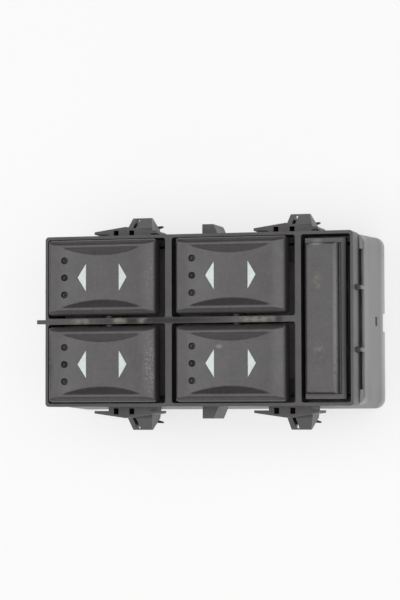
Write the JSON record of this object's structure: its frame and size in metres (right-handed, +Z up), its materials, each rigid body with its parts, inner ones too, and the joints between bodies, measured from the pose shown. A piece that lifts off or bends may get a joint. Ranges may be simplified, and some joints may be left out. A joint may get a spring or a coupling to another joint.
{
  "type": "power window switch",
  "caption": "Console power window switch pack: deep snap-in case, cover frame with cells, scooped rocker switches with white arrows and a long isolator button.",
  "frame": {"origin": "centre of the case's flat base face, in the middle between the case's end walls and side walls", "axes": "+X from the front end with the tab towards the isolator button and connector end, +Y towards the right-hand rocker row, +Z up out of the rockers"},
  "size_m": [0.1049, 0.0688, 0.0442],
  "materials": {
    "cover_plastic": "satin moulded, lightly worn",
    "case_plastic": "satin moulded",
    "rocker_plastic": "fine grained, worn",
    "button_plastic": "fine grained, worn at the edge",
    "arrow_white": "translucent white",
    "holder_plastic": "natural moulded",
    "slider_plastic": "natural moulded",
    "switch_body": "moulded",
    "lamp_body": "clear white",
    "board": "brown laminate",
    "screw_steel": "zinc plated",
    "spring_steel": "drawn",
    "contact_metal": "stamped",
    "leaf_bronze": "rolled strip"
  },
  "bodies": {
    "pack": {"cover_frame": "cover_plastic", "lower_case": "case_plastic", "circuit_board": "board", "contact_holder": "holder_plastic", "board_screws": "screw_steel", "board_lamps": "lamp_body", "connector_pins": "contact_metal", "isolator_switch": "switch_body", "isolator_spring": "spring_steel", "return_leaf_front_right": "leaf_bronze", "fixed_contacts_front_right": "contact_metal", "return_leaf_front_left": "leaf_bronze", "fixed_contacts_front_left": "contact_metal", "return_leaf_rear_right": "leaf_bronze", "fixed_contacts_rear_right": "contact_metal", "return_leaf_rear_left": "leaf_bronze", "fixed_contacts_rear_left": "contact_metal"},
    "rocker_front_right_body": {"rocker_front_right": "rocker_plastic", "arrow_insert_front_right": "arrow_white"},
    "slider_front_right_body": {"contact_slider_front_right": "slider_plastic", "contact_bridge_front_right": "contact_metal"},
    "rocker_front_left_body": {"rocker_front_left": "rocker_plastic", "arrow_insert_front_left": "arrow_white"},
    "slider_front_left_body": {"contact_slider_front_left": "slider_plastic", "contact_bridge_front_left": "contact_metal"},
    "rocker_rear_right_body": {"rocker_rear_right": "rocker_plastic", "arrow_insert_rear_right": "arrow_white"},
    "slider_rear_right_body": {"contact_slider_rear_right": "slider_plastic", "contact_bridge_rear_right": "contact_metal"},
    "rocker_rear_left_body": {"rocker_rear_left": "rocker_plastic", "arrow_insert_rear_left": "arrow_white"},
    "slider_rear_left_body": {"contact_slider_rear_left": "slider_plastic", "contact_bridge_rear_left": "contact_metal"},
    "isolator_body": {"isolator_button": "button_plastic"}
  },
  "joints": [
    {"name": "rocker_front_right_hinge", "type": "hinge", "parent": "pack", "child": "rocker_front_right_body", "pos_m": [-0.02995, 0.01367, 0.035], "axis": [0, 1, 0], "range_deg": [-6, 6], "stiffness_Nm_per_rad": 0.4, "deforming": ["return_leaf_front_right"]},
    {"name": "slider_front_right_slide", "type": "slide", "parent": "pack", "child": "slider_front_right_body", "axis": [1, 0, 0], "range_m": [-0.0013, 0.0013]},
    {"name": "rocker_front_left_hinge", "type": "hinge", "parent": "pack", "child": "rocker_front_left_body", "pos_m": [-0.02995, -0.01367, 0.035], "axis": [0, 1, 0], "range_deg": [-6, 6], "stiffness_Nm_per_rad": 0.4, "deforming": ["return_leaf_front_left"]},
    {"name": "slider_front_left_slide", "type": "slide", "parent": "pack", "child": "slider_front_left_body", "axis": [1, 0, 0], "range_m": [-0.0013, 0.0013]},
    {"name": "rocker_rear_right_hinge", "type": "hinge", "parent": "pack", "child": "rocker_rear_right_body", "pos_m": [0.01175, 0.01367, 0.035], "axis": [0, 1, 0], "range_deg": [-6, 6], "stiffness_Nm_per_rad": 0.4, "deforming": ["return_leaf_rear_right"]},
    {"name": "slider_rear_right_slide", "type": "slide", "parent": "pack", "child": "slider_rear_right_body", "axis": [1, 0, 0], "range_m": [-0.0013, 0.0013]},
    {"name": "rocker_rear_left_hinge", "type": "hinge", "parent": "pack", "child": "rocker_rear_left_body", "pos_m": [0.01175, -0.01367, 0.035], "axis": [0, 1, 0], "range_deg": [-6, 6], "stiffness_Nm_per_rad": 0.4, "deforming": ["return_leaf_rear_left"]},
    {"name": "slider_rear_left_slide", "type": "slide", "parent": "pack", "child": "slider_rear_left_body", "axis": [1, 0, 0], "range_m": [-0.0013, 0.0013]},
    {"name": "isolator_press", "type": "slide", "parent": "pack", "child": "isolator_body", "axis": [0, 0, -1], "range_m": [0, 0.0025], "stiffness_N_per_m": 600, "springref_m": -0.0015, "deforming": ["isolator_spring"]}
  ],
  "couplings": [
    {"joint": "slider_front_right_slide", "follows": "rocker_front_right_hinge", "m_per_rad": -0.01225},
    {"joint": "slider_front_left_slide", "follows": "rocker_front_left_hinge", "m_per_rad": -0.01225},
    {"joint": "slider_rear_right_slide", "follows": "rocker_rear_right_hinge", "m_per_rad": -0.01225},
    {"joint": "slider_rear_left_slide", "follows": "rocker_rear_left_hinge", "m_per_rad": -0.01225}
  ]
}
